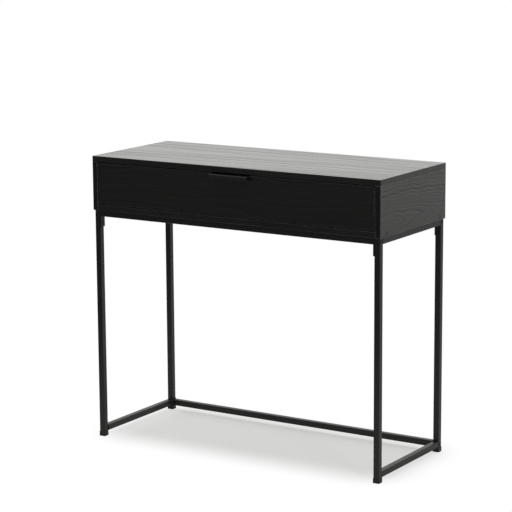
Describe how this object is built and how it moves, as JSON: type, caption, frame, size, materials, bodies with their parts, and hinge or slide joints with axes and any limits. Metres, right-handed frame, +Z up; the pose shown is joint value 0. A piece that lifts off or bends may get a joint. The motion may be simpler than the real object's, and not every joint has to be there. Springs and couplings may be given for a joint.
{
  "type": "console table",
  "caption": "Slim black console table: a shallow wood-grain box with one wide drawer and a bent lip pull, on an open frame of square steel tube with a low rear rail",
  "frame": {"origin": "on the floor, under the middle of the whole table with its handle", "axes": "+Z up, -Y towards the person at the drawer front, +X to the right of the table's own front view"},
  "size_m": [0.85, 0.355, 0.75],
  "materials": {
    "black_wood_board": "satin black wood-grain foil on particle board",
    "drawer_board": "plain matt black foil on particle board",
    "thin_board": "thin hardboard with a matt black face",
    "black_steel": "satin black powder coat",
    "black_handle_steel": "smooth satin black powder coat",
    "black_bolts": "black oxide, slightly glossy",
    "zinc_steel": "bright zinc plating",
    "cast_zinc": "tumbled cast zinc",
    "beech": "raw fluted beech",
    "black_plastic": "matt moulded black plastic",
    "foot_plastic": "matt moulded black plastic",
    "runner_steel": "rolled zinc-plated steel with a light film of grease",
    "cage_steel": "pressed zinc-plated steel",
    "ball_steel": "polished hardened steel"
  },
  "bodies": {
    "table": {"top_panel": "black_wood_board", "side_panel_left": "black_wood_board", "side_panel_right": "black_wood_board", "bottom_panel": "black_wood_board", "back_panel": "thin_board", "carcass_cams": "cast_zinc", "carcass_cam_bolts": "zinc_steel", "carcass_dowels": "beech", "carcass_screws": "zinc_steel", "screw_caps": "black_plastic", "leg_front_left": "black_steel", "leg_front_right": "black_steel", "leg_rear_left": "black_steel", "leg_rear_right": "black_steel", "top_rail_left": "black_steel", "top_rail_right": "black_steel", "top_rail_front": "black_steel", "top_rail_rear": "black_steel", "bottom_rail_left": "black_steel", "bottom_rail_right": "black_steel", "bottom_rail_rear": "black_steel", "front_end_plates": "black_steel", "rear_end_plates": "black_steel", "lower_end_plates": "black_steel", "rail_bolts": "black_bolts", "plate_bolts": "black_bolts", "weld_nuts": "zinc_steel", "frame_screws": "zinc_steel", "foot_front_left": "foot_plastic", "foot_front_right": "foot_plastic", "foot_rear_left": "foot_plastic", "foot_rear_right": "foot_plastic", "cabinet_runner_left": "runner_steel", "cabinet_runner_right": "runner_steel", "cabinet_runner_screws": "zinc_steel"},
    "drawer": {"drawer_front": "black_wood_board", "drawer_side_left": "drawer_board", "drawer_side_right": "drawer_board", "drawer_back": "drawer_board", "drawer_bottom": "thin_board", "drawer_runner_left": "runner_steel", "drawer_runner_right": "runner_steel", "drawer_runner_screws": "zinc_steel", "handle": "black_handle_steel", "handle_screws": "zinc_steel", "drawer_cams": "cast_zinc", "drawer_cam_bolts": "zinc_steel", "drawer_dowels": "beech", "drawer_back_screws": "zinc_steel"},
    "middle_slide_left": {"middle_runner_left": "runner_steel"},
    "outer_cage_left": {"outer_ball_cage_left": "cage_steel", "outer_balls_left": "ball_steel"},
    "inner_cage_left": {"inner_ball_cage_left": "cage_steel", "inner_balls_left": "ball_steel"},
    "middle_slide_right": {"middle_runner_right": "runner_steel"},
    "outer_cage_right": {"outer_ball_cage_right": "cage_steel", "outer_balls_right": "ball_steel"},
    "inner_cage_right": {"inner_ball_cage_right": "cage_steel", "inner_balls_right": "ball_steel"}
  },
  "joints": [
    {"name": "drawer_slide", "type": "slide", "parent": "table", "child": "drawer", "axis": [0, -1, 0], "range_m": [0, 0.24]},
    {"name": "middle_slide_left_travel", "type": "slide", "parent": "table", "child": "middle_slide_left", "axis": [0, -1, 0], "range_m": [0, 0.1205]},
    {"name": "outer_cage_left_travel", "type": "slide", "parent": "table", "child": "outer_cage_left", "axis": [0, -1, 0], "range_m": [0, 0.0605]},
    {"name": "inner_cage_left_travel", "type": "slide", "parent": "table", "child": "inner_cage_left", "axis": [0, -1, 0], "range_m": [0, 0.1805]},
    {"name": "middle_slide_right_travel", "type": "slide", "parent": "table", "child": "middle_slide_right", "axis": [0, -1, 0], "range_m": [0, 0.1205]},
    {"name": "outer_cage_right_travel", "type": "slide", "parent": "table", "child": "outer_cage_right", "axis": [0, -1, 0], "range_m": [0, 0.0605]},
    {"name": "inner_cage_right_travel", "type": "slide", "parent": "table", "child": "inner_cage_right", "axis": [0, -1, 0], "range_m": [0, 0.1805]}
  ],
  "couplings": [
    {"joint": "middle_slide_left_travel", "follows": "drawer_slide", "ratio": 0.5},
    {"joint": "outer_cage_left_travel", "follows": "drawer_slide", "ratio": 0.25},
    {"joint": "inner_cage_left_travel", "follows": "drawer_slide", "ratio": 0.75},
    {"joint": "middle_slide_right_travel", "follows": "drawer_slide", "ratio": 0.5},
    {"joint": "outer_cage_right_travel", "follows": "drawer_slide", "ratio": 0.25},
    {"joint": "inner_cage_right_travel", "follows": "drawer_slide", "ratio": 0.75}
  ]
}
